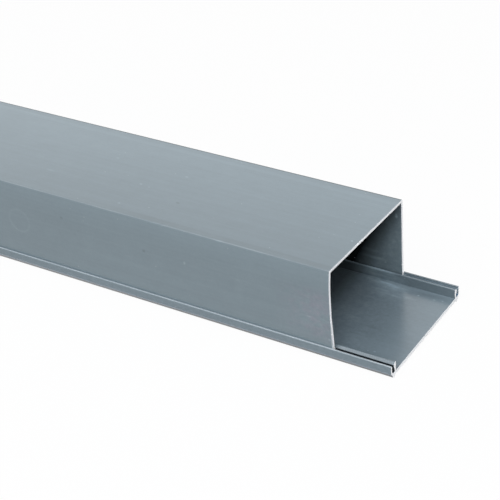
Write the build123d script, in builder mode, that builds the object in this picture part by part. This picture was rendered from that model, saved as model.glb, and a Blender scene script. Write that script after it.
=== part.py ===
from build123d import *
from math import hypot
import os

# A length of deep clip-on cable raceway, in two extruded pieces of one length.
# The base is a flat strip with a groove along each edge, between an outer lip and
# an undercut rib, whose ramped head lets the cover's hooks slide over it.
# The cover is a deep channel whose two legs stand in those grooves.
# The cover stands slid back along the base, so one end of the base shows.
# +X runs along the length to the end where the base shows, +Y to the far edge,
# +Z up. The origin is under the middle of the two pieces' overall box.
# All sizes are in millimetres.

# Lengths
base_length = 1000.0
cover_length = 1000.0
cover_setback = 43.5

# Cover section
cover_width = 100.0
assembled_height = 69.7
cover_wall = 1.8
cover_outer_radius = 1.3
cover_inner_radius = 0.6
leg_draw_in = 0.5
hook_reach = 0.9
hook_nose = 1.0
hook_lead_in = 0.6

# Base section
plate_wall = 2.5
plate_raise = 1.35
lip_wall = 1.4
lip_height = 10.3
lip_radius = 0.35
edge_slope_height = 5.0
edge_slope_run = 3.1
foot_width = 1.4
foot_flank = 0.7
rib_head_width = 2.9
rib_height = 11.1
rib_radius = 0.5
rib_ramp_run = 1.7
rib_ramp_drop = 1.5
undercut_depth = 1.5
undercut_height = 5.5

# Fit of the legs in the grooves
lip_clearance = 0.45
rib_clearance = 0.2
floor_clearance = 0.3

# Heights that both pieces share
plate_top = plate_raise + plate_wall
undercut_top = plate_top + undercut_height
leg_end = plate_top + floor_clearance

# Places along the length: the overall box is centred on the origin
overall_length = max(base_length, cover_length + cover_setback)
base_end = overall_length / 2
cover_end = base_end - cover_setback


def leg_outer(height):
    """Distance from the middle to a leg's outer face, which draws in downwards."""
    drop = (assembled_height - height) / (assembled_height - leg_end)
    return cover_width / 2 - leg_draw_in * drop


def leg_inner(height):
    """Distance from the middle to a leg's inner face."""
    return leg_outer(height) - cover_wall


# Places across the width, each measured from the middle
lip_inside = leg_outer(lip_height) + lip_clearance
base_half = lip_inside + lip_wall
rib_outside = leg_inner(leg_end) - rib_clearance
rib_inside = rib_outside - rib_head_width
root_outside = rib_outside - undercut_depth
foot_outside = base_half - edge_slope_run
foot_inside = foot_outside - foot_width

# The lip's wall keeps its thickness round the edge slope, which bevels the groove's corner
slope_length = hypot(edge_slope_run, edge_slope_height)
slope_ratio = edge_slope_run / edge_slope_height
bevel_top = edge_slope_height + lip_wall * (slope_length - edge_slope_height) / edge_slope_run
bevel_foot = lip_inside - (bevel_top - plate_top) * slope_ratio

# The leg's foot is bevelled to match, one clearance away
foot_bevel_top = bevel_top + (rib_clearance - lip_clearance) / slope_ratio
foot_bevel_inside = leg_outer(foot_bevel_top) - (foot_bevel_top - leg_end) * slope_ratio

# The hook on a leg's foot keeps the rib's slope, one clearance away from it
undercut_slope = undercut_height / undercut_depth
hook_tip = leg_inner(leg_end) - hook_reach
hook_root_height = undercut_top
hook_tip_height = undercut_top - hook_reach * undercut_slope
hook_nose_height = hook_tip_height - hook_nose

# Base: half the section drawn on the far side, then mirrored to the near side
with BuildPart() as raceway_base:
    with BuildSketch(Plane.YZ.offset(base_end - base_length)) as base_section:
        with BuildLine() as base_outline:
            Polyline(
                (0, plate_raise),
                (foot_inside - foot_flank, plate_raise),
                (foot_inside, 0),
                (foot_outside, 0),
                (base_half, edge_slope_height),
                (base_half, lip_height),
                (lip_inside, lip_height),
                (lip_inside, bevel_top),
                (bevel_foot, plate_top),
                (root_outside, plate_top),
                (rib_outside, undercut_top),
                (rib_outside, rib_height - rib_ramp_drop),
                (rib_outside - rib_ramp_run, rib_height),
                (rib_inside, rib_height),
                (rib_inside, plate_top),
                (0, plate_top),
                close=True,
            )
        make_face()
        rib_crest = base_section.vertices().group_by(Axis.Y)[-1]
        fillet(rib_crest, rib_radius)
        lip_crest = base_section.vertices().filter_by(
            lambda corner: abs(corner.Y - lip_height) < lip_radius and corner.X > lip_inside - lip_radius
        )
        fillet(lip_crest, lip_radius)
        mirror(about=Plane.YZ)
    extrude(amount=base_length)

# Cover: half the section drawn on the far side, then mirrored to the near side
with BuildPart() as raceway_cover:
    with BuildSketch(Plane.YZ.offset(cover_end - cover_length)) as cover_section:
        with BuildLine() as cover_outline:
            Polyline(
                (0, assembled_height),
                (cover_width / 2, assembled_height),
                (leg_outer(foot_bevel_top), foot_bevel_top),
                (foot_bevel_inside, leg_end),
                (hook_tip + hook_lead_in, leg_end),
                (hook_tip, hook_nose_height),
                (hook_tip, hook_tip_height),
                (leg_inner(hook_root_height), hook_root_height),
                (leg_inner(assembled_height - cover_wall), assembled_height - cover_wall),
                (0, assembled_height - cover_wall),
                close=True,
            )
        make_face()
        ceiling_height = assembled_height - cover_wall
        ceiling_corner = cover_section.vertices().filter_by(
            lambda corner: abs(corner.Y - ceiling_height) < cover_inner_radius
        ).sort_by(Axis.X)[-1]
        fillet(ceiling_corner, cover_inner_radius)
        shoulder = cover_section.vertices().group_by(Axis.Y)[-1].sort_by(Axis.X)[-1]
        fillet(shoulder, cover_outer_radius)
        mirror(about=Plane.YZ)
    extrude(amount=cover_length)

raceway_base.part.label = "raceway_base"
raceway_cover.part.label = "raceway_cover"

os.makedirs("parts", exist_ok=True)
export_step(raceway_base.part, "parts/raceway_base.step")
export_step(raceway_cover.part, "parts/raceway_cover.step")
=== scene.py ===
"""A length of deep clip-on cord cover raceway: a grooved base strip and its channel cover.

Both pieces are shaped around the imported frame, in metres, with +X along the length to the
end where the base shows, +Y across to the far edge and +Z up from the base's feet.
"""

import logging
from abc import ABC, abstractmethod
from dataclasses import dataclass, field
from enum import Enum
from math import pi, radians
from random import Random
from typing import Callable

import bmesh
import bpy
from mathutils import Matrix, Vector


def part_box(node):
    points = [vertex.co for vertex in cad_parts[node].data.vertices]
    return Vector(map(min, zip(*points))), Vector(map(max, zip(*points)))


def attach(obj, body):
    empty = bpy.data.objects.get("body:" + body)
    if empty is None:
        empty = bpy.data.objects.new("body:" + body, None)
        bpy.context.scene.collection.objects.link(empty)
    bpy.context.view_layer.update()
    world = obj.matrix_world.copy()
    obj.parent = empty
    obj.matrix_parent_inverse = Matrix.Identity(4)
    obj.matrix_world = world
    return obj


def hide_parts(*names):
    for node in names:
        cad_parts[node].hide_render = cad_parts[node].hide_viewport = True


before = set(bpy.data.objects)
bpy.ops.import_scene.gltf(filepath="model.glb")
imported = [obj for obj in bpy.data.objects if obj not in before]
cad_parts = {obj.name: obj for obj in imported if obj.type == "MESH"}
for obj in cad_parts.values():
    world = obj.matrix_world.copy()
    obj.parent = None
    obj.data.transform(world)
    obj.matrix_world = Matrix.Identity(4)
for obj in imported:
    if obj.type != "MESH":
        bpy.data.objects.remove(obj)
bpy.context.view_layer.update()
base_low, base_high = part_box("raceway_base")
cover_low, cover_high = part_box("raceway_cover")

MM = 0.001
PLACE_TOLERANCE = 0.02 * MM
MERGE_DISTANCE = PLACE_TOLERANCE / 10
SMOOTH_ANGLE = radians(32.0)

# How squarely a face looks along an axis where it is picked
FACING = 0.9

# A face this near a piece's end, and this squarely along X, takes its finish from this slot
END_REACH = 1.0 * MM
END_FACING = 0.7
SAWN_SLOT = 1

# A noise keeps mostly to its middle range
UNIT = (0.0, 1.0)
NOISE_MIDDLE = (0.3, 0.7)

# A mark's edge and core, and a ring's radius, as shares of the mark's reach
MARK_EDGE = (1.0, 0.1)
RING_RADIUS = 0.85
RING_SHARPNESS = 7.0

PLASTIC_IOR = 1.5
WHITE = (1.0, 1.0, 1.0)

Pair = tuple[float, float]
Triple = tuple[float, float, float]
Colour = Triple
Socket = bpy.types.NodeSocket
Value = Socket | float | tuple[float, ...]
PlaceTest = Callable[[Vector], bool]
FaceTest = Callable[[Vector, Vector], bool]

log = logging.getLogger("raceway")


class Side(Enum):
    """The two long edges, by the sign of their place across the width."""

    NEAR = -1
    FAR = 1


def colour4(colour: Colour) -> tuple[float, float, float, float]:
    """A colour with full opacity, as a shader's socket takes it."""
    return (*colour, 1.0)


def close(value: float, target: float) -> bool:
    """Whether a place is the target, within the modelling tolerance."""
    return abs(value - target) < PLACE_TOLERANCE


class Shape:
    """One mesh, shaped by hand in edit mode from a block."""

    def __init__(self, name: str, low: Vector, high: Vector) -> None:
        """Adds the block that the shape starts from, and opens it for editing.

        Args:
            name: the piece's name.
            low: the block's lowest corner.
            high: the block's highest corner.
        """
        bpy.ops.object.select_all(action="DESELECT")
        bpy.ops.mesh.primitive_cube_add(size=1.0, location=(low + high) / 2, scale=high - low)
        self.obj = bpy.context.object
        self.obj.name = name
        self.obj.data.name = name
        bpy.ops.object.transform_apply(location=True, rotation=True, scale=True)
        bpy.ops.object.mode_set(mode="EDIT")

    def _clear(self, mode: str) -> bmesh.types.BMesh:
        """Deselects everything in the mesh and sets what is selected next.

        Args:
            mode: VERT, EDGE or FACE.

        Returns:
            The mesh under edit.
        """
        bpy.ops.mesh.select_mode(type=mode)
        bpy.ops.mesh.select_all(action="DESELECT")
        mesh = bmesh.from_edit_mesh(self.obj.data)
        mesh.normal_update()
        return mesh

    def _show(self, mesh: bmesh.types.BMesh) -> None:
        """Hands the new selection back to the mesh."""
        mesh.select_flush_mode()
        bmesh.update_edit_mesh(self.obj.data)

    def pick_faces(self, test: FaceTest) -> None:
        """Selects the faces whose middle and normal pass the test.

        Args:
            test: takes a face's middle and its normal.
        """
        mesh = self._clear("FACE")
        for face in mesh.faces:
            face.select_set(test(face.calc_center_median(), face.normal))
        self._show(mesh)

    def pick_edges(self, test: PlaceTest) -> None:
        """Selects the edges both of whose ends pass the test.

        Args:
            test: takes the place of an edge's end.
        """
        mesh = self._clear("EDGE")
        for edge in mesh.edges:
            edge.select_set(all(test(end.co) for end in edge.verts))
        self._show(mesh)

    def pick_points(self, test: PlaceTest) -> None:
        """Selects the points that pass the test.

        Args:
            test: takes a point's place.
        """
        mesh = self._clear("VERT")
        for point in mesh.verts:
            point.select_set(test(point.co))
        self._show(mesh)

    def cut_faces(self, test: FaceTest, axis: int, place: float) -> None:
        """Cuts the picked faces along a plane square to an axis.

        Args:
            test: picks the faces to cut.
            axis: 0, 1 or 2 for X, Y or Z.
            place: where the plane crosses the axis.
        """
        self.pick_faces(test)
        at, square = Vector(), Vector()
        at[axis], square[axis] = place, 1.0
        bpy.ops.mesh.bisect(plane_co=at, plane_no=square, threshold=MERGE_DISTANCE)

    def extrude_faces(self, test: FaceTest, by: Vector) -> None:
        """Extrudes the picked faces.

        Args:
            test: picks the faces.
            by: how far they move.
        """
        self.pick_faces(test)
        bpy.ops.mesh.extrude_region_move(TRANSFORM_OT_translate={"value": by})

    def move_points(self, test: PlaceTest, by: Vector) -> None:
        """Moves the picked points.

        Args:
            test: picks the points.
            by: how far they move.
        """
        self.pick_points(test)
        bpy.ops.transform.translate(value=by)

    def merge_points(self) -> None:
        """Merges the points that lie in one place."""
        bpy.ops.mesh.select_all(action="SELECT")
        bpy.ops.mesh.remove_doubles(threshold=MERGE_DISTANCE)

    def turn_points(self, test: PlaceTest, slant: float, centre: Vector) -> None:
        """Turns the picked points about an upright axis.

        Args:
            test: picks the points.
            slant: the angle, clockwise from above.
            centre: where the axis stands.
        """
        self.pick_points(test)
        bpy.ops.transform.rotate(value=slant, orient_axis="Z", center_override=centre)

    def round_edges(self, test: PlaceTest, radius: float, segments: int) -> None:
        """Rounds the picked edges.

        Args:
            test: picks the edges by their two ends.
            radius: the rounding's radius.
            segments: how many faces the rounding has.
        """
        self.pick_edges(test)
        bpy.ops.mesh.bevel(offset=radius, segments=segments, affect="EDGES")

    def line(self, across: float, height: float) -> PlaceTest:
        """A test for the lengthwise lines at a place in the section, on both sides.

        Args:
            across: the distance from the middle plane.
            height: the height.

        Returns:
            The test for the ends of those lines.
        """
        return lambda co: close(abs(co.y), across) and close(co.z, height)

    def shift_line(self, across: float, height: float, outward: float, up: float) -> None:
        """Moves a lengthwise line and its mirror image.

        Args:
            across: the line's distance from the middle plane.
            height: the line's height.
            outward: how far it moves away from the middle plane.
            up: how far it rises.
        """
        for side in Side:
            here = self.line(across, height)
            self.move_points(
                lambda co: here(co) and co.y * side.value > 0,
                Vector((0.0, side.value * outward, up)),
            )

    def modify(self, kind: str, settings: dict[str, object]) -> None:
        """Adds a modifier and applies it.

        Args:
            kind: the modifier's type.
            settings: its settings by name.
        """
        bpy.ops.object.mode_set(mode="OBJECT")
        modifier = self.obj.modifiers.new(kind.lower(), kind)
        for name, value in settings.items():
            setattr(modifier, name, value)
        bpy.ops.object.modifier_apply(modifier=modifier.name)
        bpy.ops.object.mode_set(mode="EDIT")

    def close_up(self) -> None:
        """Turns the faces outwards, leaves edit mode and smooths the rounded edges."""
        bpy.ops.mesh.select_all(action="SELECT")
        bpy.ops.mesh.normals_make_consistent(inside=False)
        bpy.ops.object.mode_set(mode="OBJECT")
        bpy.ops.object.shade_smooth_by_angle(angle=SMOOTH_ANGLE)
        modifier = self.obj.modifiers.new("even_normals", "WEIGHTED_NORMAL")
        modifier.keep_sharp = True
        bpy.ops.object.modifier_apply(modifier=modifier.name)


@dataclass(frozen=True)
class Grain:
    """A noise: how many features it has in a metre along X, Y and Z, and how fine they go."""

    per_metre: Triple
    detail: float
    rough: float = 0.5


@dataclass(frozen=True)
class Slope:
    """A change between two places in millimetres, level outside them."""

    start: float
    end: float
    low: float = 0.0
    high: float = 1.0


@dataclass(frozen=True)
class Strip:
    """A strip between two places in millimetres, with soft edges inside it."""

    start: float
    end: float
    soft: float
    top: float = 1.0


class MarkShape(Enum):
    """What a mark on the skin looks like."""

    PATCH = "patch"
    RING = "ring"


@dataclass(frozen=True)
class SoftMark:
    """A faint mark on the skin. Its place and reach are in millimetres."""

    place: Triple
    reach: Triple
    lift: float
    shape: MarkShape = MarkShape.PATCH


class Nodes:
    """A node tree, filled one node at a time."""

    def __init__(self, tree: bpy.types.NodeTree) -> None:
        """Starts with the tree emptied."""
        self.tree = tree
        self.tree.nodes.clear()

    def add(
        self,
        kind: str,
        inputs: dict[str | int, object] | None = None,
        settings: dict[str, object] | None = None,
    ) -> bpy.types.Node:
        """Adds a node.

        Args:
            kind: the node's type.
            inputs: by socket, a number or colour to set or another node's socket to join.
            settings: the node's own settings by name.

        Returns:
            The node.
        """
        node = self.tree.nodes.new(kind)
        for name, value in (settings or {}).items():
            setattr(node, name, value)
        for socket, value in (inputs or {}).items():
            if isinstance(value, Socket):
                self.tree.links.new(value, node.inputs[socket])
            else:
                node.inputs[socket].default_value = value
        return node

    def math(self, operation: str, first: Value, second: Value) -> Socket:
        """Does arithmetic on two values."""
        return self.add("ShaderNodeMath", {0: first, 1: second}, {"operation": operation}).outputs[0]

    def change(self, value: Value, source: Pair, result: Pair, smooth: bool = False) -> Socket:
        """Maps one range of values to another, level outside it.

        Args:
            value: what it follows.
            source: the range's start and end.
            result: what they become.
            smooth: whether the change eases in and out.

        Returns:
            The mapped value.
        """
        limits = {"From Min": source[0], "From Max": source[1], "To Min": result[0], "To Max": result[1]}
        settings = {"interpolation_type": "SMOOTHSTEP" if smooth else "LINEAR"}
        return self.add("ShaderNodeMapRange", {"Value": value, **limits}, settings).outputs[0]

    def seen(self) -> Socket:
        """Whether a ray comes from the camera or a reflection."""
        path = self.add("ShaderNodeLightPath")
        return self.math("MAXIMUM", path.outputs["Is Camera Ray"], path.outputs["Is Glossy Ray"])


class NodeSheet(Nodes):
    """A material's nodes."""

    def __init__(self, name: str) -> None:
        """Starts an empty material.

        Args:
            name: the material's name.
        """
        self.material = bpy.data.materials.new(name)
        self.material.use_nodes = True
        super().__init__(self.material.node_tree)
        self.place = self.add("ShaderNodeTexCoord").outputs["Object"]
        self.along, self.across, self.height = self.add("ShaderNodeSeparateXYZ", {0: self.place}).outputs
        self.sideways = self.math("ABSOLUTE", self.across, 0.0)

    def noise(self, grain: Grain) -> Socket:
        """A noise stretched along the axes.

        Args:
            grain: the noise's features.

        Returns:
            The noise, from 0 to 1.
        """
        place = self.add("ShaderNodeMapping", {"Vector": self.place, "Scale": grain.per_metre})
        node = self.add(
            "ShaderNodeTexNoise",
            {"Vector": place.outputs[0], "Scale": 1.0, "Detail": grain.detail, "Roughness": grain.rough},
        )
        return node.outputs[0]

    def specks(self, per_metre: Triple, reach: float, core: float) -> Socket:
        """Small round spots scattered over the surface.

        Args:
            per_metre: how many cells there are in a metre along X, Y and Z.
            reach: the spots' reach as a share of a cell.
            core: the full core's share of that reach.

        Returns:
            1 in the middle of a spot and 0 outside it.
        """
        place = self.add("ShaderNodeMapping", {"Vector": self.place, "Scale": per_metre})
        cells = self.add("ShaderNodeTexVoronoi", {"Vector": place.outputs[0], "Scale": 1.0})
        return self.change(cells.outputs["Distance"], (reach, reach * core), UNIT, smooth=True)

    def mark(self, mark: SoftMark) -> Socket:
        """A mark at its place on the skin, streaked along the length.

        Args:
            mark: the mark.

        Returns:
            How much lighter it makes the skin there.
        """
        shrink = tuple(1.0 / (reach * MM) for reach in mark.reach)
        shift = tuple(-place * MM * share for place, share in zip(mark.place, shrink))
        local = self.add("ShaderNodeMapping", {"Vector": self.place, "Location": shift, "Scale": shrink})
        length = self.add("ShaderNodeVectorMath", {0: local.outputs[0]}, {"operation": "LENGTH"})
        away = length.outputs["Value"]
        if mark.shape is MarkShape.RING:
            off_ring = self.math("ABSOLUTE", self.past(away, RING_RADIUS), 0.0)
            away = self.product(off_ring, RING_SHARPNESS)
        return self.change(away, MARK_EDGE, (0.0, mark.lift), smooth=True)

    def ramp(self, value: Value, slope: Slope) -> Socket:
        """A straight change along a slope."""
        return self.change(value, (slope.start * MM, slope.end * MM), (slope.low, slope.high))

    def fade(self, value: Value, slope: Slope) -> Socket:
        """A smooth change along a slope."""
        return self.change(value, (slope.start * MM, slope.end * MM), (slope.low, slope.high), smooth=True)

    def spread(self, value: Value, result: Pair) -> Socket:
        """A noise's middle range stretched to run between two values."""
        return self.change(value, NOISE_MIDDLE, result)

    def band(self, value: Value, strip: Strip) -> Socket:
        """A strip between two places, with soft edges.

        Args:
            value: what it follows.
            strip: the strip.

        Returns:
            The strip's top in its middle, and 0 outside it.
        """
        start = self.fade(value, Slope(strip.start, strip.start + strip.soft))
        end = self.fade(value, Slope(strip.end, strip.end - strip.soft, high=strip.top))
        return self.product(start, end)

    def inward(self, end: float, length: float) -> Socket:
        """How far a place lies in from the nearer end of a piece.

        Args:
            end: where the piece's end is along the length.
            length: the piece's length.

        Returns:
            The distance.
        """
        away = self.math("ABSOLUTE", self.past(self.along, end - length / 2), 0.0)
        return self.math("SUBTRACT", length / 2, away)

    def past(self, value: Value, place: float) -> Socket:
        """How far a value lies past a place."""
        return self.math("SUBTRACT", value, place)

    def product(self, first: Value, *others: Value) -> Socket:
        """Multiplies values together.

        Args:
            first: the first value.
            others: what it is multiplied by.

        Returns:
            The product.
        """
        for other in others:
            first = self.math("MULTIPLY", first, other)
        return first

    def more(self, level: Value, share: Value) -> Socket:
        """Adds a share of a level to it."""
        return self.product(level, self.math("ADD", 1.0, share))

    def less(self, level: Value, share: Value) -> Socket:
        """Takes a share of a level away from it."""
        return self.product(level, self.math("SUBTRACT", 1.0, share))

    def lerp(self, share: Value, under: Value, over: Value) -> Socket:
        """Goes over from one value to another by a share."""
        return self.add("ShaderNodeMix", {0: share, 2: under, 3: over}).outputs[0]

    def blend(self, share: Value, under: Value, over: Value) -> Socket:
        """Lays a share of one colour over another."""
        return self.add("ShaderNodeMix", {0: share, 6: under, 7: over}, {"data_type": "RGBA"}).outputs[2]

    def shade(self, colour: Value, strength: Value) -> Socket:
        """Scales a colour's brightness."""
        scaling = {"operation": "SCALE"}
        return self.add("ShaderNodeVectorMath", {0: colour, "Scale": strength}, scaling).outputs[0]

    def plastic(self, colour: Value, roughness: Value, relief: Socket, depth: float) -> bpy.types.Material:
        """Finishes the sheet as plastic.

        Args:
            colour: the colour.
            roughness: the roughness.
            relief: the height of the fine relief, from 0 to 1.
            depth: the relief's full depth.

        Returns:
            The material.
        """
        bump = self.add("ShaderNodeBump", {"Height": relief, "Distance": depth, "Strength": 1.0})
        normal = bump.outputs[0]
        shader = self.add(
            "ShaderNodeBsdfPrincipled",
            {"Base Color": colour, "Roughness": roughness, "IOR": PLASTIC_IOR, "Normal": normal},
        )
        self.add("ShaderNodeOutputMaterial", {"Surface": shader.outputs[0]})
        return self.material


@dataclass(frozen=True)
class DrawnSkin(ABC):
    """The skin that the plastic has from the die: semi-matt, with lengthwise die lines, and with light and
    shade painted in.

    The lengths of the fray and the rim beside the cut are in millimetres.
    """

    name: str
    colour: Colour
    cut_end: float
    length: float = 1.0
    roughness: float = 0.22
    # The colour of the pale specks, the saw's whitening and the painted highlights
    pale: Colour = (0.55, 0.60, 0.63)
    # The darker bluer colour of the base's painted shade under its edges; the cover's haze colour replaces
    # it
    tint: Colour = (0.11, 0.22, 0.335)
    cut_slant: float = 0.0
    fray_length: float = 1.1
    fray_share: float = 0.45
    fray_grain: Grain = Grain((800.0, 1000.0, 1000.0), 4.0, 0.65)
    fray_patches: Pair = (0.42, 0.66)
    rim_length: float = 0.2
    rim_share: float = 0.85
    cloud: Grain = Grain((9.0, 30.0, 30.0), 4.0)
    cloud_depth: float = 0.025
    mottle: Grain = Grain((70.0, 110.0, 110.0), 4.0, 0.6)
    mottle_depth: float = 0.02
    die_lines: Grain = Grain((1.2, 420.0, 420.0), 3.0, 0.65)
    die_line_depth: float = 0.022
    die_line_roughness: Pair = (-0.03, 0.04)
    speckle: Grain = Grain((520.0, 640.0, 640.0), 2.0)
    speckle_depth: float = 0.012
    scuffs: Grain = Grain((250.0, 270.0, 270.0), 5.0, 0.7)
    scuff_lift: Pair = (-0.13, 0.15)
    scuff_speckle: Pair = (-0.04, 0.04)
    streaks: Grain = Grain((60.0, 340.0, 340.0), 4.0, 0.65)
    streak_lift: Pair = (0.35, 1.3)
    speck_cells: Triple = (120.0, 210.0, 210.0)
    speck_reach: float = 0.075
    speck_core: float = 0.4
    speck_patches: Pair = (0.5, 0.56)
    speck_share: float = 0.45
    grain: Grain = Grain((900.0, 900.0, 900.0), 2.0)
    grain_relief: float = 0.4
    die_line_relief: float = 0.6
    relief_depth: float = 0.02 * MM
    marks: tuple[SoftMark, ...] = ()

    @abstractmethod
    def tone(self, sheet: NodeSheet) -> Socket:
        """How light the skin is from place to place, with light and shade painted in."""

    @abstractmethod
    def painted_highlight(self, sheet: NodeSheet) -> Socket:
        """How much pale colour is painted on as a highlight from place to place."""

    @abstractmethod
    def hazed_and_shaded(self, sheet: NodeSheet) -> Socket:
        """How much the skin takes on its second colour: a handled haze on the cover, painted shade on the
        base.
        """

    @abstractmethod
    def scuffed(self, sheet: NodeSheet) -> Socket:
        """How strongly the skin is scuffed from place to place."""

    def material(self) -> bpy.types.Material:
        """Makes the finish.

        Returns:
            The material.
        """
        sheet = NodeSheet(self.name)
        mottle = sheet.noise(self.mottle)
        die_lines = sheet.noise(self.die_lines)
        speckle = sheet.noise(self.speckle)
        # The light and shade that the subclass paints over the colour
        level = self.tone(sheet)
        for noise, depth in (
            (sheet.noise(self.cloud), self.cloud_depth),
            (mottle, self.mottle_depth),
            (die_lines, self.die_line_depth),
            (speckle, self.speckle_depth),
        ):
            level = sheet.product(level, sheet.spread(noise, (1.0 - depth, 1.0 + depth)))
        scuffs = sheet.spread(sheet.noise(self.scuffs), self.scuff_lift)
        rubs = sheet.math("ADD", scuffs, sheet.spread(speckle, self.scuff_speckle))
        level = sheet.more(level, sheet.product(rubs, self.scuffed(sheet)))
        level = sheet.more(level, self._marked(sheet))
        # The second colour: a handled haze on the cover, painted shade under the base's edges
        colour = sheet.blend(self.hazed_and_shaded(sheet), colour4(self.colour), colour4(self.tint))
        colour = sheet.shade(colour, level)
        specks = sheet.product(
            sheet.specks(self.speck_cells, self.speck_reach, self.speck_core),
            sheet.change(mottle, self.speck_patches, (0.0, self.speck_share), smooth=True),
        )
        # Pale specks, the painted highlights and the saw's whitening
        for paled in (specks, self.painted_highlight(sheet), self._whitened(sheet)):
            colour = sheet.blend(paled, colour, colour4(self.pale))
        low, high = self.die_line_roughness
        roughness = sheet.spread(die_lines, (self.roughness + low, self.roughness + high))
        lines = sheet.product(die_lines, self.die_line_relief)
        fine = sheet.product(sheet.noise(self.grain), self.grain_relief)
        return sheet.plastic(colour, roughness, sheet.math("ADD", lines, fine), self.relief_depth)

    def _marked(self, sheet: NodeSheet) -> Socket:
        """How much lighter the marks make the skin.

        Args:
            sheet: the material's nodes.

        Returns:
            The marks' lift.
        """
        lift = 0.0
        for mark in self.marks:
            lift = sheet.math("ADD", lift, sheet.mark(mark))
        return sheet.product(lift, sheet.spread(sheet.noise(self.streaks), self.streak_lift))

    def _whitened(self, sheet: NodeSheet) -> Socket:
        """How much the saw whitened the skin beside the cut: in patches, and along its rim.

        Args:
            sheet: the material's nodes.

        Returns:
            The share of the pale colour.
        """
        along = sheet.past(sheet.along, self.cut_end)
        along = sheet.math("SUBTRACT", along, sheet.product(sheet.across, self.cut_slant))
        frayed = sheet.fade(along, Slope(-self.fray_length, 0.0, high=self.fray_share))
        patchy = sheet.change(sheet.noise(self.fray_grain), self.fray_patches, UNIT, smooth=True)
        rim = sheet.fade(along, Slope(-self.rim_length, -self.rim_length / 2, high=self.rim_share))
        return sheet.math("MAXIMUM", sheet.product(frayed, patchy), rim)


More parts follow.
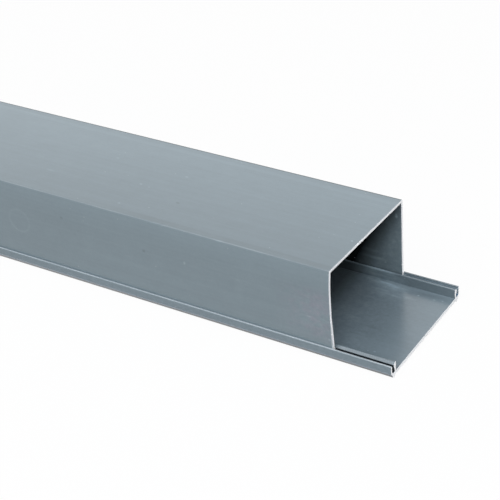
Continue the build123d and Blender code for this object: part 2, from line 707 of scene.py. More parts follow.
@dataclass(frozen=True)
class CoverSkin(DrawnSkin):
    """The cover's skin, with light and shade painted in: lighter towards the far edge on top, and shaded
    deeper inside the channel.
    """

    top: float = cover_high.z
    half_width: float = 50.0 * MM
    tint: Colour = (0.258, 0.281, 0.324)
    top_edge: Slope = Slope(-0.9, -0.3)
    # Painted light across and along the top
    top_across: Slope = Slope(-46.0, 38.0, 0.91, 1.12)
    top_along: Slope = Slope(170.0, 450.0, 1.0, 0.94)
    crease: Strip = Strip(-48.8, -42.0, 2.0, 0.10)
    crease_along: Slope = Slope(240.0, 340.0)
    crease_grain: Grain = Grain((25.0, 60.0, 60.0), 3.0)
    crease_patches: Pair = (0.3, 1.3)
    # A lighter band near the far shoulder, and painted shade on the far shoulder itself
    far_line: Strip = Strip(39.5, 45.5, 2.0, 0.04)
    far_edge: Slope = Slope(48.2, 49.2, high=0.6)
    side_height: Slope = Slope(15.0, 60.0, 1.055, 1.005)
    # Painted shade inside the channel
    shade_depth: Slope = Slope(5.0, 23.7, 1.12, 0.03)
    shade_height: float = 40.0 * MM
    shade_rise: float = 0.5
    shade_foot: Slope = Slope(10.0, 22.0, 0.88, 1.0)
    lining_draw_in: Slope = Slope(-18.0, 0.0, 0.0, 1.2 * MM)
    lining_near: Slope = Slope(0.0, -40.0)
    lining_side: Slope = Slope(-0.9, -1.3)
    lining_top: Slope = Slope(-1.0, -1.4)
    handled_along: Slope = Slope(-44.0, -14.0)
    handled_height: Strip = Strip(10.0, 58.0, 12.0)
    handled_side: Slope = Slope(-47.0, -49.0)
    handled_grain: Grain = Grain((150.0, 230.0, 230.0), 5.0, 0.72)
    handled_patches: Pair = (-0.3, 1.15)
    # A painted highlight along the near arris
    arris_top: Slope = Slope(-0.7, -0.3)
    arris_side: Slope = Slope(-48.0, -48.4, high=0.18)
    arris_along: Slope = Slope(466.0, 415.0)
    arris_grain: Grain = Grain((30.0, 200.0, 200.0), 4.0, 0.65)
    arris_patches: Pair = (0.1, 1.5)
    scuffed_handled: float = 0.4
    scuffed_side: Slope = Slope(-0.5, -1.5, high=0.1)
    scuffed_lining: float = 0.8
    marks: tuple[SoftMark, ...] = (
        SoftMark((477.5, -50.0, 36.2), (0.7, 3.0, 0.8), -0.45),
        SoftMark((477.2, -50.0, 26.3), (0.8, 3.0, 0.9), -0.45),
        SoftMark((477.6, -50.0, 22.5), (0.6, 3.0, 0.8), -0.45),
        SoftMark((476.3, -50.0, 16.5), (1.6, 3.0, 1.4), 0.25),
        SoftMark((462.0, -50.0, 31.0), (3.0, 3.0, 1.2), 0.16),
        SoftMark((473.5, -10.9, 69.7), (1.3, 1.0, 2.0), 0.50),
        SoftMark((218.9, -50.0, 40.0), (11.0, 3.0, 11.0), 0.08, MarkShape.RING),
        # Painted highlights along the near shoulder
        SoftMark((394.0, -48.6, 69.4), (5.0, 0.8, 0.8), 0.35),
        SoftMark((342.0, -48.6, 69.4), (16.0, 0.7, 0.7), 0.12),
        SoftMark((465.0, -50.0, 33.0), (16.0, 3.0, 16.0), 0.06),
        SoftMark((408.0, -50.0, 37.0), (5.0, 3.0, 14.0), 0.05),
        SoftMark((395.0, -50.0, 55.0), (20.0, 3.0, 2.0), -0.07),
        SoftMark((331.0, -50.0, 45.0), (2.0, 3.0, 2.0), -0.22),
        SoftMark((365.0, -50.0, 45.0), (1.6, 3.0, 1.6), 0.25),
        SoftMark((260.0, -50.0, 53.0), (2.2, 3.0, 1.8), -0.25),
        SoftMark((450.0, -50.0, 50.0), (24.0, 3.0, 10.0), -0.05),
        SoftMark((300.0, -50.0, 30.0), (40.0, 3.0, 7.0), 0.03),
        SoftMark((302.7, -9.6, 69.7), (1.6, 1.2, 2.0), 0.35),
        SoftMark((304.1, -37.8, 69.7), (1.8, 1.2, 2.0), 0.35),
        SoftMark((327.0, 12.7, 69.7), (2.0, 1.3, 2.0), 0.30),
        SoftMark((264.9, 14.2, 69.7), (1.8, 1.0, 2.0), 0.25),
        SoftMark((341.7, -20.0, 69.7), (2.4, 1.4, 2.0), -0.20),
        SoftMark((229.8, -21.5, 69.7), (5.0, 2.0, 2.0), 0.10),
        SoftMark((147.0, 44.3, 69.7), (60.0, 2.0, 2.0), 0.06),
        SoftMark((455.0, 36.5, 69.7), (60.0, 0.8, 2.0), 0.07),
        SoftMark((450.0, 33.0, 69.7), (50.0, 0.7, 2.0), -0.06),
        SoftMark((440.0, 30.0, 69.7), (45.0, 0.6, 2.0), 0.05),
        SoftMark((455.0, 48.0, 18.0), (16.0, 3.0, 1.8), 0.45),
        SoftMark((452.0, 48.0, 23.5), (14.0, 3.0, 2.4), 0.32),
        SoftMark((466.0, 48.0, 16.5), (1.3, 3.0, 1.0), 0.80),
        SoftMark((475.0, 48.0, 56.5), (1.6, 3.0, 2.6), 1.20),
        SoftMark((471.0, 48.0, 36.0), (7.0, 3.0, 16.0), 0.12),
    )

    def tone(self, sheet: NodeSheet) -> Socket:
        """How light the cover's skin is from place to place, with light and shade painted in.

        Args:
            sheet: the material's nodes.

        Returns:
            What the colour is multiplied by.
        """
        # A darker band along the near shoulder, in patches
        crease = sheet.product(
            sheet.band(sheet.across, self.crease),
            sheet.spread(sheet.noise(self.crease_grain), self.crease_patches),
            sheet.fade(sheet.along, self.crease_along),
        )
        # Painted light on the top: lighter towards the far edge and away from the cut
        on_top = sheet.product(
            sheet.ramp(sheet.across, self.top_across), sheet.ramp(sheet.along, self.top_along)
        )
        on_top = sheet.less(on_top, crease)
        # A lighter band near the far shoulder, and painted shade on the far shoulder itself
        on_top = sheet.math("ADD", on_top, sheet.band(sheet.across, self.far_line))
        on_top = sheet.math("SUBTRACT", on_top, sheet.fade(sheet.across, self.far_edge))
        # A little lighter low down on the sides
        on_side = sheet.ramp(sheet.height, self.side_height)
        at_top = sheet.fade(sheet.past(sheet.height, self.top), self.top_edge)
        outside = sheet.lerp(at_top, on_side, on_top)
        # Painted shade inside: darker the deeper in from the ends and the higher up, and a little darker
        # at the feet
        rise = sheet.product(sheet.past(sheet.height, self.shade_height), self.shade_rise)
        depth = sheet.math("ADD", sheet.inward(self.cut_end, self.length), rise)
        shade = sheet.ramp(depth, self.shade_depth)
        inside = sheet.product(shade, sheet.ramp(sheet.height, self.shade_foot))
        return sheet.lerp(self.lining(sheet), outside, inside)

    def lining(self, sheet: NodeSheet) -> Socket:
        """Where the cover's inner faces are.

        Args:
            sheet: the material's nodes.

        Returns:
            1 on the inner faces and 0 outside.
        """
        below_top = sheet.past(sheet.height, self.top)
        drawn = sheet.product(
            sheet.ramp(below_top, self.lining_draw_in), sheet.fade(sheet.across, self.lining_near)
        )
        away = sheet.past(sheet.math("ADD", sheet.sideways, drawn), self.half_width)
        return sheet.product(sheet.fade(away, self.lining_side), sheet.fade(below_top, self.lining_top))

    def handled(self, sheet: NodeSheet) -> Socket:
        """Where the near leg is rubbed dull beside its cut.

        Args:
            sheet: the material's nodes.

        Returns:
            1 in the rubbed patch and 0 away from it.
        """
        return sheet.product(
            sheet.ramp(sheet.past(sheet.along, self.cut_end), self.handled_along),
            sheet.band(sheet.height, self.handled_height),
            sheet.fade(sheet.across, self.handled_side),
        )

    def painted_highlight(self, sheet: NodeSheet) -> Socket:
        """How much highlight is painted along the arris over the near leg.

        Args:
            sheet: the material's nodes.

        Returns:
            The share of the pale colour.
        """
        return sheet.product(
            sheet.fade(sheet.past(sheet.height, self.top), self.arris_top),
            sheet.fade(sheet.across, self.arris_side),
            sheet.spread(sheet.noise(self.arris_grain), self.arris_patches),
            sheet.fade(sheet.along, self.arris_along),
        )

    def hazed_and_shaded(self, sheet: NodeSheet) -> Socket:
        """How much the rubbed patch takes on its warmer tint."""
        patches = sheet.spread(sheet.noise(self.handled_grain), self.handled_patches)
        return sheet.product(self.handled(sheet), patches)

    def scuffed(self, sheet: NodeSheet) -> Socket:
        """How strongly the cover is scuffed: inside, and outside beside the cut.

        Args:
            sheet: the material's nodes.

        Returns:
            The scuffs' strength.
        """
        handled = sheet.product(self.handled(sheet), self.scuffed_handled)
        side = sheet.fade(sheet.past(sheet.height, self.top), self.scuffed_side)
        outside = sheet.math("ADD", handled, side)
        return sheet.lerp(self.lining(sheet), outside, self.scuffed_lining)


@dataclass(frozen=True)
class BaseSkin(DrawnSkin):
    """The base's skin, with light and shade painted in: shade in the near groove, under the edges and
    under the cover, light in the far groove and on the open plate, and a highlight on the near lip.
    """

    rim_length: float = 0.1
    fray_share: float = 0.12
    # Painted shade in the near groove and painted light in the far one
    groove: Strip = Strip(45.6, 50.3, 0.2)
    groove_top: Slope = Slope(9.75, 9.3)
    groove_shading: Slope = Slope(-1.0, 1.0, 0.82, -0.7)
    far_rib: Strip = Strip(44.45, 52.0, 0.15)
    far_rib_shade: Slope = Slope(10.3, 10.8, 0.2, 0.08)
    # Darker on the near rib's head above its shoulder
    near_ramp: Strip = Strip(-47.7, -44.5, 0.05)
    near_ramp_darkening: Slope = Slope(9.5, 9.7, high=0.30)
    root_line: Strip = Strip(43.5, 44.6, 0.4, 0.2)
    root_line_along: Slope = Slope(484.0, 500.0)
    # Painted light on the plate past the cover, and painted shade on the plate under it
    open_along: Slope = Slope(472.0, 492.0)
    open_across: Slope = Slope(-34.0, 26.0, 0.84, 0.95)
    shade_under_cover: Slope = Slope(66.0, 82.0, 1.0, 0.5)
    plate_edge: Slope = Slope(44.7, 44.6)
    scratch_step: float = 1.35 * MM
    scratch_slant: float = 0.8
    scratched_head: Strip = Strip(-47.7, -44.5, 0.1)
    scratched_top: Slope = Slope(9.4, 9.7)
    scratched_along: Slope = Slope(-44.0, -30.0, high=0.09)
    # Where the painted shade lies under the edges
    underside_out: Slope = Slope(47.9, 48.2)
    underside_top: Slope = Slope(5.1, 4.8)
    scuffed_edge: Slope = Slope(45.0, 44.0)
    scuffed_rib: float = 0.5
    scuffed_plate: Slope = Slope(484.0, 502.0, 0.75, 0.25)
    # A painted highlight on the near lip's crest
    crest_top: Slope = Slope(10.0, 10.22)
    crest_side: Slope = Slope(-49.6, -49.9, high=0.72)
    crest_grain: Grain = Grain((60.0, 300.0, 300.0), 3.0)
    crest_patches: Pair = (0.75, 1.1)
    marks: tuple[SoftMark, ...] = (
        SoftMark((470.0, 41.0, 3.85), (28.0, 7.0, 2.0), 0.50),
        SoftMark((471.0, 41.5, 3.85), (11.0, 1.6, 2.0), 0.45),
        SoftMark((480.0, 38.5, 3.85), (12.0, 4.0, 2.0), 0.24),
        SoftMark((496.0, 42.5, 3.85), (20.0, 1.6, 2.0), 0.16),
        SoftMark((476.0, 32.0, 3.85), (20.0, 10.0, 2.0), 0.34),
        SoftMark((481.0, 29.3, 3.85), (13.0, 1.3, 2.0), 0.18),
        SoftMark((468.5, -6.6, 3.85), (10.0, 8.0, 2.0), 0.08),
        # A painted highlight on the far rib's crest and painted light on its inner face
        SoftMark((463.0, 45.6, 10.8), (19.0, 3.0, 1.3), 1.35),
        SoftMark((463.0, 44.6, 7.5), (24.0, 1.0, 6.0), 0.65),
        SoftMark((492.0, 31.5, 3.85), (9.0, 2.4, 2.0), 0.14),
        SoftMark((487.0, 36.8, 3.85), (2.4, 1.1, 2.0), 0.40),
        SoftMark((496.7, 37.2, 3.85), (1.3, 0.9, 2.0), 0.80),
        SoftMark((508.7, 37.0, 3.85), (1.5, 0.9, 2.0), 0.75),
        SoftMark((514.7, 38.0, 3.85), (1.3, 0.8, 2.0), 0.65),
        SoftMark((500.0, -33.3, 3.85), (1.6, 1.0, 2.0), 0.50),
        SoftMark((505.0, 40.5, 3.85), (18.0, 3.0, 2.0), -0.12),
        SoftMark((460.0, -2.0, 3.85), (16.0, 12.0, 2.0), 0.10),
        SoftMark((484.0, -28.0, 3.85), (14.0, 9.0, 2.0), 0.09),
        SoftMark((470.0, 12.0, 3.85), (14.0, 4.0, 2.0), 0.08),
        SoftMark((478.0, -10.0, 3.85), (18.0, 2.0, 2.0), -0.07),
        SoftMark((500.0, 8.0, 3.85), (20.0, 1.5, 2.0), 0.03),
    )

    def tone(self, sheet: NodeSheet) -> Socket:
        """How light the base's skin is from place to place, with light and shade painted in.

        Args:
            sheet: the material's nodes.

        Returns:
            What the colour is multiplied by.
        """
        # Painted light on the plate past the cover, lighter towards the far side, and painted shade where
        # the cover hides it
        opened = sheet.fade(sheet.along, self.open_along)
        plate = sheet.product(
            sheet.lerp(opened, 1.0, sheet.ramp(sheet.across, self.open_across)),
            sheet.ramp(sheet.inward(self.cut_end, self.length), self.shade_under_cover),
        )
        root_line = sheet.product(
            sheet.band(sheet.across, self.root_line), sheet.fade(sheet.along, self.root_line_along)
        )
        far_rib = sheet.product(
            sheet.band(sheet.across, self.far_rib), sheet.ramp(sheet.height, self.far_rib_shade)
        )
        level = sheet.lerp(sheet.fade(sheet.sideways, self.plate_edge), 1.0, plate)
        level = sheet.math("SUBTRACT", sheet.math("ADD", level, root_line), far_rib)
        # Painted shade in the near groove and painted light in the far one, below the crests
        groove = sheet.product(
            sheet.band(sheet.sideways, self.groove),
            sheet.fade(sheet.height, self.groove_top),
            sheet.ramp(sheet.across, self.groove_shading),
        )
        # Darker on the near rib's head above its shoulder
        near_ramp = sheet.product(
            sheet.band(sheet.across, self.near_ramp), sheet.fade(sheet.height, self.near_ramp_darkening)
        )
        # The grooves' painted shade and light, the darker near rib head and the saw scratches
        for darkening in (groove, near_ramp, self.hatch(sheet)):
            level = sheet.less(level, darkening)
        return level

    def hatch(self, sheet: NodeSheet) -> Socket:
        """The slanting saw scratches across the near rib's head, by the cut.

        Args:
            sheet: the material's nodes.

        Returns:
            How much darker they make it.
        """
        slant = sheet.math("ADD", sheet.along, sheet.product(sheet.across, self.scratch_slant))
        wave = sheet.math("SINE", sheet.product(slant, 2.0 * pi / self.scratch_step), 0.0)
        return sheet.product(
            wave,
            sheet.band(sheet.across, self.scratched_head),
            sheet.fade(sheet.height, self.scratched_top),
            sheet.fade(sheet.past(sheet.along, self.cut_end), self.scratched_along),
        )

    def hazed_and_shaded(self, sheet: NodeSheet) -> Socket:
        """How much painted shade, in a darker bluer colour, lies on the edges' undersides."""
        outer = sheet.fade(sheet.sideways, self.underside_out)
        return sheet.product(outer, sheet.fade(sheet.height, self.underside_top))

    def scuffed(self, sheet: NodeSheet) -> Socket:
        """How strongly the base is scuffed: on the plate, and most where the cover shades it."""
        plate = sheet.fade(sheet.sideways, self.scuffed_edge)
        return sheet.lerp(plate, self.scuffed_rib, sheet.ramp(sheet.along, self.scuffed_plate))

    def painted_highlight(self, sheet: NodeSheet) -> Socket:
        """How much highlight is painted on the near lip's crest.

        Args:
            sheet: the material's nodes.

        Returns:
            The share of the pale colour.
        """
        return sheet.product(
            sheet.fade(sheet.height, self.crest_top),
            sheet.fade(sheet.across, self.crest_side),
            sheet.spread(sheet.noise(self.crest_grain), self.crest_patches),
        )


@dataclass(frozen=True)
class SawnFace:
    """The whitened face that a saw leaves across the plastic."""

    name: str
    colour: Colour = (0.90, 0.91, 0.92)
    roughness: float = 0.62
    roughness_range: float = 0.06
    kerf: Grain = Grain((400.0, 260.0, 2600.0), 3.0)
    kerf_shade: Pair = (0.92, 1.03)
    dust: Grain = Grain((1500.0, 1500.0, 1500.0), 2.0)
    relief_depth: float = 0.05 * MM

    def material(self) -> bpy.types.Material:
        """Makes the finish.

        Returns:
            The material.
        """
        sheet = NodeSheet(self.name)
        kerf = sheet.noise(self.kerf)
        dust = sheet.noise(self.dust)
        colour = sheet.shade(self.colour, sheet.spread(kerf, self.kerf_shade))
        limits = (self.roughness - self.roughness_range, self.roughness + self.roughness_range)
        relief = sheet.math("ADD", kerf, dust)
        return sheet.plastic(colour, sheet.spread(dust, limits), relief, self.relief_depth)


def dress(piece: bpy.types.Object, skin: DrawnSkin, sawn: SawnFace, *ends: float) -> None:
    """Gives a piece its skin, and the faces at its ends the sawn finish.

    Args:
        piece: the piece.
        skin: the finish that the die leaves.
        sawn: the finish that the saw leaves.
        ends: where the piece's ends are along the length.
    """
    for finish in (skin, sawn):
        piece.data.materials.append(finish.material())
    for face in piece.data.polygons:
        at_end = any(abs(face.center.x - end) < END_REACH for end in ends)
        if at_end and abs(face.normal.x) > END_FACING:
            face.material_index = SAWN_SLOT


@dataclass
class BaseStrip:
    """The flat base strip: a plate with a lip, a groove and a leaning rib along each edge."""

    end: float = base_high.x
    length: float = base_high.x - base_low.x
    half_width: float = base_high.y
    plate_under: float = 1.35 * MM
    plate_top: float = 3.85 * MM
    lip_wall: float = 1.4 * MM
    lip_height: float = 10.3 * MM
    lip_radius: float = 0.35 * MM
    slope_height: float = 5.0 * MM
    slope_run: float = 3.1 * MM
    foot_width: float = 1.4 * MM
    foot_flank: float = 0.7 * MM
    groove_bevel_foot: float = 49.037 * MM
    groove_bevel_top: float = 5.399 * MM
    rib_outside: float = 47.5 * MM
    rib_head_width: float = 2.9 * MM
    rib_height: float = base_high.z
    rib_radius: float = 0.5 * MM
    ramp_run: float = 1.7 * MM
    ramp_drop: float = 1.5 * MM
    undercut_depth: float = 1.5 * MM
    neck_height: float = 9.35 * MM
    edge_round: float = 0.18 * MM
    shoulder_round: float = 0.1 * MM
    crest_faces: int = 4
    ramp_faces: int = 3
    line_faces: int = 2
    cut_slant: float = 0.0095
    colour: Colour = (0.221, 0.282, 0.316)

    @property
    def lip_inside(self) -> float:
        """Where the lips' inner faces are."""
        return self.half_width - self.lip_wall

    @property
    def rib_inside(self) -> float:
        """Where the ribs' inner faces are."""
        return self.rib_outside - self.rib_head_width

    @property
    def root_outside(self) -> float:
        """Where the ribs' undercuts end at the plate."""
        return self.rib_outside - self.undercut_depth

    @property
    def foot_outside(self) -> float:
        """Where the feet's outer edges are."""
        return self.half_width - self.slope_run

    @property
    def foot_inside(self) -> float:
        """Where the feet's inner edges are."""
        return self.foot_outside - self.foot_width

    def build(self) -> bpy.types.Object:
        """Shapes the strip from a flat block.

        Returns:
            The piece.
        """
        shape = Shape(
            "base_strip",
            Vector((self.end - self.length, -self.half_width, self.plate_under)),
            Vector((self.end, self.half_width, self.plate_top)),
        )
        self._cut_lines(shape)
        self._raise_lips(shape)
        self._raise_ribs(shape)
        self._lower_feet(shape)
        self._round_lines(shape)
        near_corner = Vector((self.end, -self.half_width, 0.0))
        shape.turn_points(lambda co: close(co.x, self.end), -self.cut_slant, near_corner)
        shape.close_up()
        self._dress(shape.obj)
        return shape.obj

    def _cut_lines(self, shape: Shape) -> None:
        """Cuts the lines of the lips and ribs into the plate's top and of the feet below.

        Args:
            shape: the strip under work.
        """
        for side in Side:
            for across in (self.rib_inside, self.root_outside, self.groove_bevel_foot, self.lip_inside):
                shape.cut_faces(lambda middle, normal: normal.z > FACING, 1, side.value * across)
            for across in (self.foot_inside - self.foot_flank, self.foot_inside, self.foot_outside):
                shape.cut_faces(lambda middle, normal: normal.z < -FACING, 1, side.value * across)

    def _raise_lips(self, shape: Shape) -> None:
        """Draws the outer lips up, and bevels the groove's corner beside them.

        Args:
            shape: the strip under work.
        """
        shape.extrude_faces(
            lambda middle, normal: normal.z > FACING and abs(middle.y) > self.lip_inside,
            Vector((0.0, 0.0, self.lip_height - self.plate_top)),
        )
        shape.shift_line(self.lip_inside, self.plate_top, 0.0, self.groove_bevel_top - self.plate_top)

    def _raise_ribs(self, shape: Shape) -> None:
        """Draws the ribs up from their roots, leans them outwards, and ramps their heads.

        Args:
            shape: the strip under work.
        """
        shape.extrude_faces(
            lambda middle, normal: normal.z > FACING
            and self.rib_inside < abs(middle.y) < self.root_outside
            and close(middle.z, self.plate_top),
            Vector((0.0, 0.0, self.neck_height - self.plate_top)),
        )
        shape.shift_line(self.root_outside, self.neck_height, self.undercut_depth, 0.0)
        shoulder = self.rib_height - self.ramp_drop
        for start, end in ((self.neck_height, shoulder), (shoulder, self.rib_height)):
            shape.extrude_faces(
                lambda middle, normal: normal.z > FACING and close(middle.z, start),
                Vector((0.0, 0.0, end - start)),
            )
        shape.shift_line(self.rib_outside, self.rib_height, -self.ramp_run, 0.0)

    def _lower_feet(self, shape: Shape) -> None:
        """Slopes the strip's outer edges in to two narrow feet.

        Args:
            shape: the strip under work.
        """
        for height in (self.plate_top, self.plate_under):
            shape.shift_line(self.half_width, height, 0.0, self.slope_height - height)
        shape.merge_points()
        shape.shift_line(self.foot_outside, self.plate_under, 0.0, -self.plate_under)
        shape.shift_line(self.foot_inside, self.plate_under, 0.0, -self.plate_under)

    def _round_lines(self, shape: Shape) -> None:
        """Rounds the ribs' and lips' crests fully, and the other outer lines a little.

        Args:
            shape: the strip under work.
        """
        shoulder = self.rib_height - self.ramp_drop
        for across, height, radius, faces in (
            (self.rib_inside, self.rib_height, self.rib_radius, self.crest_faces),
            (self.rib_outside - self.ramp_run, self.rib_height, self.rib_radius / 2, self.ramp_faces),
            (self.lip_inside, self.lip_height, self.lip_radius, self.crest_faces),
            (self.half_width, self.lip_height, self.lip_radius, self.crest_faces),
            (self.half_width, self.slope_height, self.edge_round, self.line_faces),
            (self.foot_outside, 0.0, self.edge_round, self.line_faces),
            (self.foot_inside, 0.0, self.edge_round, self.line_faces),
            (self.rib_outside, self.neck_height, self.shoulder_round, self.line_faces),
            (self.rib_outside, shoulder, self.shoulder_round, self.line_faces),
        ):
            shape.round_edges(shape.line(across, height), radius, faces)

    def _dress(self, piece: bpy.types.Object) -> None:
        """Gives the strip its skin, and its two ends the sawn face.

        Args:
            piece: the strip.
        """
        cut = self.end - self.cut_slant * self.half_width
        skin = BaseSkin("base_skin", self.colour, cut, self.length, cut_slant=-self.cut_slant)
        dress(piece, skin, SawnFace("base_sawn_face"), self.end, self.end - self.length)
        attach(piece, "base")
        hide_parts("raceway_base")


@dataclass(frozen=True)
class Burr:
    """A crumb of plastic that the saw left on an edge. Its place and reach are in millimetres."""

    place: Triple
    reach: Triple
    seed: int
    raggedness: float = 0.25

    def build(self) -> bpy.types.Object:
        """Shapes the crumb from a ball by pulling its points in and out unevenly.

        Returns:
            The crumb.
        """
        middle = Vector(self.place) * MM
        bpy.ops.object.select_all(action="DESELECT")
        bpy.ops.mesh.primitive_ico_sphere_add(
            subdivisions=2, radius=1.0, location=middle, scale=Vector(self.reach) * MM
        )
        crumb = bpy.context.object
        crumb.name = "burr"
        bpy.ops.object.transform_apply(location=True, rotation=True, scale=True)
        draw = Random(self.seed)
        for point in crumb.data.vertices:
            share = 1.0 - self.raggedness * draw.random()
            point.co = middle + (point.co - middle) * share
        return crumb


@dataclass
class ChannelCover:
    """The deep channel cover: a flat top and two legs that end in hooks.

    The heights that its legs bow at are in millimetres.
    """

    end: float = cover_high.x
    length: float = cover_high.x - cover_low.x
    half_width: float = 50.0 * MM
    top: float = cover_high.z
    wall: float = 1.8 * MM
    leg_end: float = cover_low.z
    draw_in: float = 0.5 * MM
    shoulder_radius: float = 0.6 * MM
    shoulder_faces: int = 6
    ceiling_radius: float = 0.6 * MM
    ceiling_faces: int = 4
    hook_root: float = 9.35 * MM
    hook_reach: float = 0.9 * MM
    hook_drop: float = 3.3 * MM
    hook_lead_in: float = 0.54 * MM
    hook_end_reach: float = 0.1 * MM
    foot_bevel: float = 0.6 * MM
    near_bow: float = 0.7 * MM
    arris_draw_in: float = 1.2 * MM
    arris_reach: float = 18.0 * MM
    cut_slant: float = 0.0125
    cut_shift: float = 0.13 * MM
    cut_reach: float = 2.0 * MM
    cut_steps: tuple[Pair, ...] = ((26.0 * MM, 0.45 * MM), (16.0 * MM, 0.3 * MM))
    bow_heights: tuple[float, ...] = (15.0, 25.0, 35.0, 45.0, 53.0, 58.0, 62.0, 65.0, 67.5)
    burrs: tuple[Burr, ...] = (
        Burr((478.4, -12.2, 69.2), (0.7, 1.5, 0.45), 1),
        Burr((478.5, -9.4, 69.25), (0.6, 0.8, 0.42), 2),
        Burr((478.5, -6.6, 69.2), (0.8, 1.2, 0.45), 3),
        Burr((478.5, -2.6, 69.3), (0.5, 0.6, 0.38), 4),
        Burr((479.0, 47.95, 17.7), (0.7, 0.75, 1.2), 5),
        Burr((479.1, 48.6, 11.6), (0.9, 0.85, 1.4), 6),
        Burr((478.2, -49.9, 21.3), (0.5, 0.6, 1.0), 7),
        Burr((478.05, -50.2, 31.0), (0.4, 0.6, 0.8), 8),
        Burr((478.05, -50.3, 37.6), (0.4, 0.55, 1.0), 9),
    )
    colour: Colour = (0.223, 0.282, 0.311)

    @property
    def levels(self) -> tuple[float, ...]:
        """The heights at which the legs' sides are divided, from the hooks' roots up."""
        return (self.hook_root, *(height * MM for height in self.bow_heights))

    def build(self) -> bpy.types.Object:
        """Shapes the cover from a block.

        Returns:
            The piece.
        """
        shape = Shape(
            "channel_cover",
            Vector((self.end - self.length, -self.half_width, self.leg_end)),
            Vector((self.end, self.half_width, self.top)),
        )
        self._open_channel(shape)
        self._draw_in_legs(shape)
        shape.modify("SOLIDIFY", {"thickness": self.wall, "offset": -1.0, "use_even_offset": True})
        self._form_hooks(shape)
        self._round_lines(shape)
        self._slant_cut(shape)
        shape.close_up()
        self._dress(shape.obj)
        self._add_burrs(shape.obj)
        return shape.obj

    def _open_channel(self, shape: Shape) -> None:
        """Takes the block's underside and both ends away."""
        shape.pick_faces(lambda middle, normal: normal.z < -FACING or abs(normal.x) > FACING)
        bpy.ops.mesh.delete(type="FACE")

    def _outward(self, side: Side, height: float) -> float:
        """How far a leg's outer face stands outside the cover's half width.

        Args:
            side: which leg.
            height: the height.

        Returns:
            The distance, below 0 where the leg is drawn in.
        """
        depth = (self.top - height) / (self.top - self.leg_end)
        outward = -self.draw_in * depth
        if side is Side.NEAR:
            drawn = max(0.0, 1.0 - (self.top - height) / self.arris_reach)
            # The bow is a parabola, at its full height half-way down the leg
            outward += self.near_bow * 4.0 * depth * (1.0 - depth) - self.arris_draw_in * drawn**2
        return outward

    def _draw_in_legs(self, shape: Shape) -> None:
        """Leans the legs in, bows the near one out a little and draws its arris in.

        Args:
            shape: the cover under work.
        """
        for height in self.levels:
            shape.cut_faces(lambda middle, normal: abs(normal.y) > FACING, 2, height)
        for height in (self.leg_end, *self.levels, self.top):
            for side in Side:
                shape.move_points(
                    lambda co: close(co.z, height) and co.y * side.value > 0,
                    Vector((0.0, side.value * self._outward(side, height), 0.0)),
                )

    def _slant_cut(self, shape: Shape) -> None:
        """Turns the cut a little out of square, its far side and its near foot outwards.

        Args:
            shape: the cover under work.
        """

        def at_cut(co: Vector) -> bool:
            """Whether a point is on the cut."""
            return close(co.x, self.end)

        shape.turn_points(at_cut, self.cut_slant, Vector((self.end, 0.0, 0.0)))
        bpy.ops.transform.translate(value=Vector((self.cut_shift, 0.0, 0.0)))
        for height, step in self.cut_steps:
            shape.move_points(
                lambda co: co.x > self.end - self.cut_reach and co.y < 0 and co.z < height,
                Vector((step, 0.0, 0.0)),
            )

    def _form_hooks(self, shape: Shape) -> None:
        """Draws the hooks inwards from the legs' feet and bevels the feet outside.

        Args:
            shape: the cover under work.
        """
        inner = self.half_width - self.wall

        def foot_lining(middle: Vector, normal: Vector) -> bool:
            """Whether a face is the inner side of a leg's foot."""
            return middle.z < self.hook_root and abs(middle.y) < inner and normal.y * middle.y < 0

        for side in Side:
            shape.extrude_faces(
                lambda middle, normal: foot_lining(middle, normal) and middle.y * side.value > 0,
                Vector((0.0, -side.value * self.hook_reach, 0.0)),
            )
        tip = self.half_width - self.draw_in - self.wall - self.hook_reach / 2

        def inside_tip(co: Vector) -> bool:
            """Whether a point is on a hook's tip."""
            return abs(co.y) < tip

        shape.move_points(
            lambda co: inside_tip(co) and close(co.z, self.hook_root),
            Vector((0.0, 0.0, -self.hook_drop)),
        )
        shape.move_points(
            lambda co: inside_tip(co) and co.z < self.leg_end + self.hook_end_reach,
            Vector((0.0, 0.0, self.hook_lead_in)),
        )
        shape.round_edges(shape.line(self.half_width - self.draw_in, self.leg_end), self.foot_bevel, 1)

    def _round_lines(self, shape: Shape) -> None:
        """Rounds the shoulders outside and the ceiling's corners inside.

        Args:
            shape: the cover under work.
        """
        shape.pick_faces(lambda middle, normal: abs(normal.x) > FACING)
        bpy.ops.mesh.dissolve_faces()
        for side in Side:
            shoulder = self.half_width + self._outward(side, self.top)
            shape.round_edges(shape.line(shoulder, self.top), self.shoulder_radius, self.shoulder_faces)
        ceiling = self.top - self.wall
        shape.round_edges(
            lambda co: close(co.z, ceiling) and abs(co.y) > self.half_width - 2 * self.wall,
            self.ceiling_radius,
            self.ceiling_faces,
        )

    def _dress(self, piece: bpy.types.Object) -> None:
        """Gives the cover its skin, and its two ends the sawn face.

        Args:
            piece: the cover.
        """
        cut = self.end + self.cut_shift
        skin = CoverSkin("cover_skin", self.colour, cut, self.length, cut_slant=self.cut_slant)
        dress(piece, skin, SawnFace("cover_sawn_face"), self.end, self.end - self.length)
        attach(piece, "cover")
        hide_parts("raceway_cover")

    def _add_burrs(self, piece: bpy.types.Object) -> None:
        """Fuses the saw's burrs to the cut, each in the sawn face's finish.

        Args:
            piece: the cover.
        """
        for burr in self.burrs:
            crumb = burr.build()
            for slot in piece.data.materials:
                crumb.data.materials.append(slot)
            for face in crumb.data.polygons:
                face.material_index = SAWN_SLOT
            modifier = piece.modifiers.new("fuse", "BOOLEAN")
            modifier.operation = "UNION"
            modifier.solver = "EXACT"
            modifier.object = crumb
            bpy.ops.object.select_all(action="DESELECT")
            piece.select_set(True)
            bpy.context.view_layer.objects.active = piece
            bpy.ops.object.modifier_apply(modifier=modifier.name)
            bpy.data.objects.remove(crumb)


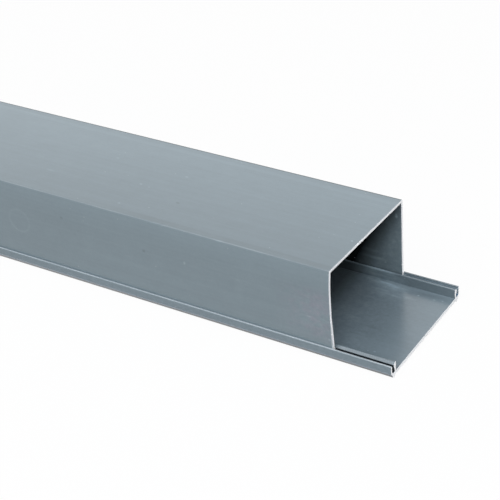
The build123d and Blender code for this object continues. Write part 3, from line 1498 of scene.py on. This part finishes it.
@dataclass(frozen=True)
class SoftLamp:
    """A square soft lamp. At a level of 1 its face is as bright as white."""

    name: str
    place: Triple
    size: float
    level: float
    colour: Colour = WHITE

    def hang(self, target: Vector) -> None:
        """Hangs the lamp facing a place.

        Args:
            target: the place that it faces.
        """
        data = bpy.data.lights.new(self.name, "AREA")
        data.shape = "SQUARE"
        data.size = self.size
        data.color = self.colour
        data.energy = self.level * pi * self.size * self.size
        lamp = bpy.data.objects.new(self.name, data)
        bpy.context.scene.collection.objects.link(lamp)
        lamp.location = self.place
        lamp.rotation_euler = (target - Vector(self.place)).to_track_quat("-Z", "Y").to_euler()


@dataclass
class Studio:
    """A pale floor, a white surround, soft lamps and the camera."""

    aim: Vector = field(default_factory=lambda: Vector((419.4, -50.0, 70.28)) * MM)
    distance: float = 964.9 * MM
    azimuth: float = 34.713
    elevation: float = 32.504
    roll: float = -4.858
    lens: float = 106.78
    floor_size: float = 12.0
    floor_white_share: float = 0.96
    floor_bounce: float = 0.4
    floor_seen: float = 0.9
    ambient: float = 0.12
    lit_place: Vector = field(default_factory=lambda: Vector((0.3, 0.0, 0.03)))
    lamps: tuple[SoftLamp, ...] = (
        SoftLamp("overhead", (0.25, 0.1, 1.5), 1.8, 0.5),
        SoftLamp("over_end", (1.05, -0.5, 1.35), 0.8, 2.73, (0.965, 1.0, 1.11)),
        SoftLamp("back", (-0.7, 1.4, 1.05), 1.5, 0.5),
        SoftLamp("front", (0.9, -1.9, 0.9), 1.2, 1.53, (0.98, 1.012, 1.01)),
        SoftLamp("high_front", (0.1, -1.1, 1.5), 1.4, 2.85, (0.97, 1.0, 1.045)),
        SoftLamp("end", (2.6, -0.05, 0.16), 0.6, 24.0),
    )

    def build(self) -> None:
        """Sets up the floor, the surround, the lamps and the camera."""
        self._floor()
        self._surround()
        for lamp in self.lamps:
            lamp.hang(self.lit_place)
        self._camera()
        bpy.context.scene.view_settings.view_transform = "Standard"

    def _floor(self) -> None:
        """Lays a pale floor that shows white and keeps a faint shadow."""
        bpy.ops.object.select_all(action="DESELECT")
        bpy.ops.mesh.primitive_plane_add(size=self.floor_size)
        floor = bpy.context.object
        floor.name = "floor"
        sheet = NodeSheet("pale_floor")
        seen = sheet.seen()
        share = sheet.product(seen, self.floor_white_share)
        tone = sheet.blend(seen, colour4((self.floor_bounce,) * 3), colour4((self.floor_seen,) * 3))
        matt = sheet.add("ShaderNodeBsdfDiffuse", {"Color": tone})
        white = sheet.add("ShaderNodeEmission", {"Strength": 1.0})
        mixed = sheet.add("ShaderNodeMixShader", {0: share, 1: matt.outputs[0], 2: white.outputs[0]})
        sheet.add("ShaderNodeOutputMaterial", {"Surface": mixed.outputs[0]})
        floor.data.materials.append(sheet.material)

    def _surround(self) -> None:
        """Makes the surround white to the eye and in reflections, and a soft light elsewhere."""
        world = bpy.data.worlds.new("surround")
        bpy.context.scene.world = world
        world.use_nodes = True
        nodes = Nodes(world.node_tree)
        level = nodes.change(nodes.seen(), UNIT, (self.ambient, 1.0))
        sky = nodes.add("ShaderNodeBackground", {"Color": colour4(WHITE), "Strength": level})
        nodes.add("ShaderNodeOutputWorld", {"Surface": sky.outputs[0]})

    def _camera(self) -> None:
        """Sets the camera at the photograph's angle."""
        data = bpy.data.cameras.new("camera")
        data.lens = self.lens
        camera = bpy.data.objects.new("camera", data)
        bpy.context.scene.collection.objects.link(camera)
        turn = (
            Matrix.Rotation(radians(self.azimuth), 3, "Z")
            @ Matrix.Rotation(radians(90.0 - self.elevation), 3, "X")
            @ Matrix.Rotation(radians(self.roll), 3, "Z")
        )
        back = turn @ Vector((0.0, 0.0, 1.0))
        camera.matrix_world = Matrix.Translation(self.aim + back * self.distance) @ turn.to_4x4()
        bpy.context.scene.camera = camera


def main() -> None:
    """Builds the two pieces and the studio."""
    logging.basicConfig(level=logging.INFO)
    for part in (BaseStrip(), ChannelCover()):
        piece = part.build()
        log.info("%s: %d faces", piece.name, len(piece.data.polygons))
    Studio().build()
    log.info("studio set up")


if __name__ == "__main__":
    main()
